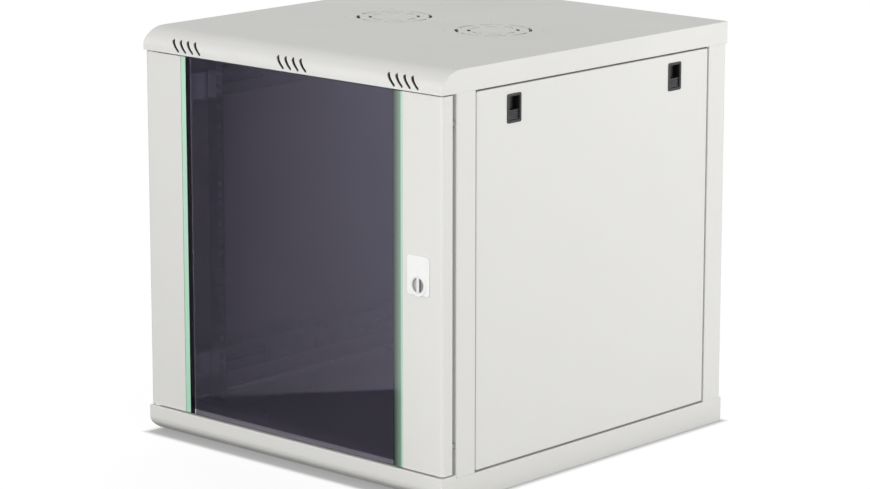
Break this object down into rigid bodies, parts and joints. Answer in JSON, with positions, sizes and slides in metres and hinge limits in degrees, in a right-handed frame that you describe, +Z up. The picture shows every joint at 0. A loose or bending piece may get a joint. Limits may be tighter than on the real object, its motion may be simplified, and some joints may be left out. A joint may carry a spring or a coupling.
{
  "type": "wall-mount rack cabinet",
  "caption": "Light grey wall-mount cabinet for nineteen-inch rack equipment, with a smoked glass door on corner pins, lift-off side panels on slide latches and depth-adjustable rack rails.",
  "frame": {"origin": "middle of the cabinet's footprint, on the plane of the base's underside", "axes": "+X to the right seen from the front, the glass door faces -Y, +Z up"},
  "size_m": [0.6, 0.635, 0.62],
  "materials": {
    "cabinet_paint": "light grey fine-textured satin powder coat",
    "zinc_rails": "bright zinc-plated sheet steel",
    "zinc_fasteners": "zinc-plated steel",
    "smoked_glass": "smoked toughened glass with polished edges",
    "black_tape": "black bonding tape",
    "latch_plastic": "black moulded plastic with a fine grain",
    "lock_metal": "bright satin chrome",
    "lock_plug_metal": "bright chrome turned plug",
    "nylon": "natural nylon",
    "rubber_black": "black moulded rubber"
  },
  "bodies": {
    "cabinet": {"roof_panel": "cabinet_paint", "base_panel": "cabinet_paint", "corner_post_front_right": "cabinet_paint", "corner_post_front_left": "cabinet_paint", "corner_post_rear_right": "cabinet_paint", "corner_post_rear_left": "cabinet_paint", "rear_panel": "cabinet_paint", "rear_cable_cover": "cabinet_paint", "base_cable_cover": "cabinet_paint", "cover_screws": "zinc_fasteners", "depth_rail_upper_right": "zinc_rails", "depth_rail_upper_left": "zinc_rails", "depth_rail_lower_right": "zinc_rails", "depth_rail_lower_left": "zinc_rails", "frame_screws": "zinc_fasteners", "rear_panel_screws": "zinc_fasteners", "earth_stud": "zinc_fasteners", "earth_nut": "zinc_fasteners", "hinge_bushes": "nylon", "door_bumpers": "rubber_black"},
    "front_right_rail": {"rack_rail_front_right": "zinc_rails", "rail_screws_front_right": "zinc_fasteners", "rail_nuts_front_right": "zinc_fasteners"},
    "front_left_rail": {"rack_rail_front_left": "zinc_rails", "rail_screws_front_left": "zinc_fasteners", "rail_nuts_front_left": "zinc_fasteners"},
    "rear_right_rail": {"rack_rail_rear_right": "zinc_rails", "rail_screws_rear_right": "zinc_fasteners", "rail_nuts_rear_right": "zinc_fasteners"},
    "rear_left_rail": {"rack_rail_rear_left": "zinc_rails", "rail_screws_rear_left": "zinc_fasteners", "rail_nuts_rear_left": "zinc_fasteners"},
    "door": {"door_stile_right": "cabinet_paint", "door_stile_left": "cabinet_paint", "door_glass": "smoked_glass", "glass_tapes": "black_tape", "hinge_pins": "zinc_fasteners", "hinge_blocks": "zinc_rails", "lock_plate": "lock_metal", "lock_barrel": "lock_metal", "lock_nut": "zinc_fasteners"},
    "lock": {"lock_plug": "lock_plug_metal", "lock_cam": "zinc_rails", "cam_nut": "zinc_fasteners"},
    "right_panel": {"side_panel_right": "cabinet_paint", "latch_housing_right_front": "latch_plastic", "latch_housing_right_rear": "latch_plastic"},
    "left_panel": {"side_panel_left": "cabinet_paint", "latch_housing_left_front": "latch_plastic", "latch_housing_left_rear": "latch_plastic"},
    "right_front_latch": {"latch_slider_right_front": "latch_plastic"},
    "right_rear_latch": {"latch_slider_right_rear": "latch_plastic"},
    "left_front_latch": {"latch_slider_left_front": "latch_plastic"},
    "left_rear_latch": {"latch_slider_left_rear": "latch_plastic"}
  },
  "joints": [
    {"name": "door_hinge", "type": "hinge", "parent": "cabinet", "child": "door", "pos_m": [-0.289, -0.3045, 0.315], "axis": [0, 0, -1], "range_deg": [0, 180]},
    {"name": "lock_turn", "type": "hinge", "parent": "door", "child": "lock", "pos_m": [0.254, -0.3, 0.315], "axis": [0, -1, 0], "range_deg": [0, 90]},
    {"name": "right_panel_off", "type": "slide", "parent": "cabinet", "child": "right_panel", "axis": [1, 0, 0], "range_m": [0, 0.15]},
    {"name": "left_panel_off", "type": "slide", "parent": "cabinet", "child": "left_panel", "axis": [-1, 0, 0], "range_m": [0, 0.15]},
    {"name": "right_front_latch_slide", "type": "slide", "parent": "right_panel", "child": "right_front_latch", "axis": [0, 0, 1], "range_m": [0, 0.008]},
    {"name": "right_rear_latch_slide", "type": "slide", "parent": "right_panel", "child": "right_rear_latch", "axis": [0, 0, 1], "range_m": [0, 0.008]},
    {"name": "left_front_latch_slide", "type": "slide", "parent": "left_panel", "child": "left_front_latch", "axis": [0, 0, 1], "range_m": [0, 0.008]},
    {"name": "left_rear_latch_slide", "type": "slide", "parent": "left_panel", "child": "left_rear_latch", "axis": [0, 0, 1], "range_m": [0, 0.008]},
    {"name": "front_right_rail_slide", "type": "slide", "parent": "cabinet", "child": "front_right_rail", "axis": [0, 1, 0], "range_m": [0, 0.1]},
    {"name": "front_left_rail_slide", "type": "slide", "parent": "cabinet", "child": "front_left_rail", "axis": [0, 1, 0], "range_m": [0, 0.1]},
    {"name": "rear_right_rail_slide", "type": "slide", "parent": "cabinet", "child": "rear_right_rail", "axis": [0, -1, 0], "range_m": [0, 0.1]},
    {"name": "rear_left_rail_slide", "type": "slide", "parent": "cabinet", "child": "rear_left_rail", "axis": [0, -1, 0], "range_m": [0, 0.1]}
  ]
}
